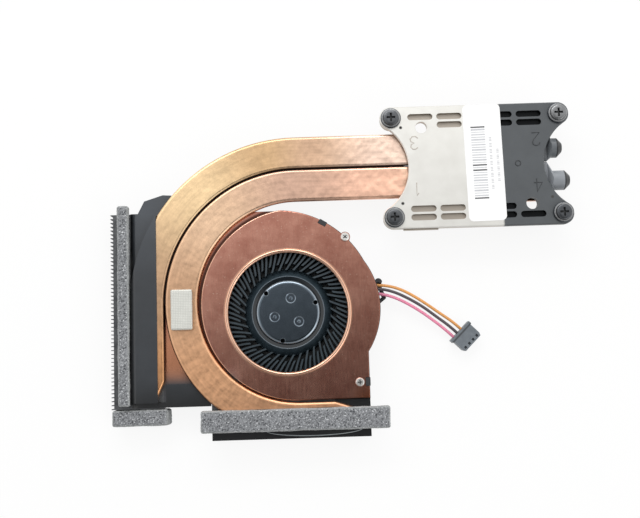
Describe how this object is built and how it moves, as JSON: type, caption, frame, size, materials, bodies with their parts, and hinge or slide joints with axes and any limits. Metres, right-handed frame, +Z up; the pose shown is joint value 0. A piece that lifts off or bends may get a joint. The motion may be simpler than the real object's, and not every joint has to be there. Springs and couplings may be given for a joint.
{
  "type": "laptop cooling fan with heat sink",
  "caption": "Flat laptop blower fan with curved copper heat pipes that lead from a screw-down processor plate to fin stacks at the fan's outlets.",
  "frame": {"origin": "on the fan's spin axis, at the underside of the fan base", "axes": "+Z up along the fan's axis, +X towards the processor plate, +Y towards the straight runs of the heat pipes"},
  "size_m": [0.1689, 0.1187, 0.0152],
  "materials": {
    "black_moulding": "moulded, fine texture",
    "dark_copper": "stamped copper sheet, brown tarnish, satin",
    "bright_steel": "bright zinc plate",
    "black_blades": "moulded, smooth",
    "black_steel": "black coated, satin",
    "magnet": "bonded magnet",
    "brass": "turned",
    "bronze": "sintered",
    "inner_plastic": "plain",
    "core_steel": "stacked laminations",
    "coil_copper": "enamelled winding",
    "board": "printed board",
    "bright_copper": "polished copper tube, heat tints",
    "fins": "folded sheet, darkened",
    "black_film": "thin film, satin",
    "foam": "open-cell foam",
    "silver_cloth": "metallised weave over foam",
    "cast_plate": "die-cast, half painted black",
    "block_copper": "milled copper",
    "paper": "printed paper label",
    "orange_wire": "extruded insulation",
    "black_wire": "extruded insulation",
    "pink_wire": "extruded insulation",
    "connector": "moulded",
    "tinned_contact": "tinned crimp",
    "black_screw": "black oxide",
    "clip_steel": "spring steel"
  },
  "bodies": {
    "frame": {"fan_base": "black_moulding", "fan_cover": "dark_copper", "cover_screws": "bright_steel", "bearing_tube": "brass", "bearing_sleeve": "bronze", "thrust_washer": "inner_plastic", "stator_core": "core_steel", "stator_coils": "coil_copper", "motor_board": "board", "outer_heat_pipe": "bright_copper", "inner_heat_pipe": "bright_copper", "left_fin_stack": "fins", "rear_fin_stack": "fins", "left_duct_film": "black_film", "rear_duct_film": "black_film", "left_foam_strip": "foam", "left_end_foam": "foam", "rear_foam_strip": "foam", "fabric_gasket": "silver_cloth", "cpu_plate": "cast_plate", "contact_block": "block_copper", "label": "paper", "wire_orange": "orange_wire", "wire_black": "black_wire", "wire_pink": "pink_wire", "cable_connector": "connector", "crimp_contacts": "tinned_contact"},
    "rotor": {"impeller": "black_blades", "rotor_yoke": "black_steel", "rotor_magnet": "magnet", "motor_shaft": "bright_steel"},
    "screw_1": {"captive_screw_1": "black_screw", "screw_clip_1": "clip_steel"},
    "screw_2": {"captive_screw_2": "black_screw", "screw_clip_2": "clip_steel"},
    "screw_3": {"captive_screw_3": "black_screw", "screw_clip_3": "clip_steel"},
    "screw_4": {"captive_screw_4": "black_screw", "screw_clip_4": "clip_steel"}
  },
  "joints": [
    {"name": "fan_spin", "type": "hinge", "parent": "frame", "child": "rotor", "pos_m": [0, 0, 0], "axis": [0, 0, 1], "continuous": true},
    {"name": "screw_1_turn", "type": "hinge", "parent": "frame", "child": "screw_1", "pos_m": [0.0395, 0.06938, 0.0134], "axis": [0, 0, 1], "continuous": true},
    {"name": "screw_2_turn", "type": "hinge", "parent": "frame", "child": "screw_2", "pos_m": [0.1005, 0.06938, 0.0134], "axis": [0, 0, 1], "continuous": true},
    {"name": "screw_3_turn", "type": "hinge", "parent": "frame", "child": "screw_3", "pos_m": [0.0395, 0.03277, 0.0134], "axis": [0, 0, 1], "continuous": true},
    {"name": "screw_4_turn", "type": "hinge", "parent": "frame", "child": "screw_4", "pos_m": [0.1005, 0.03277, 0.0134], "axis": [0, 0, 1], "continuous": true}
  ]
}
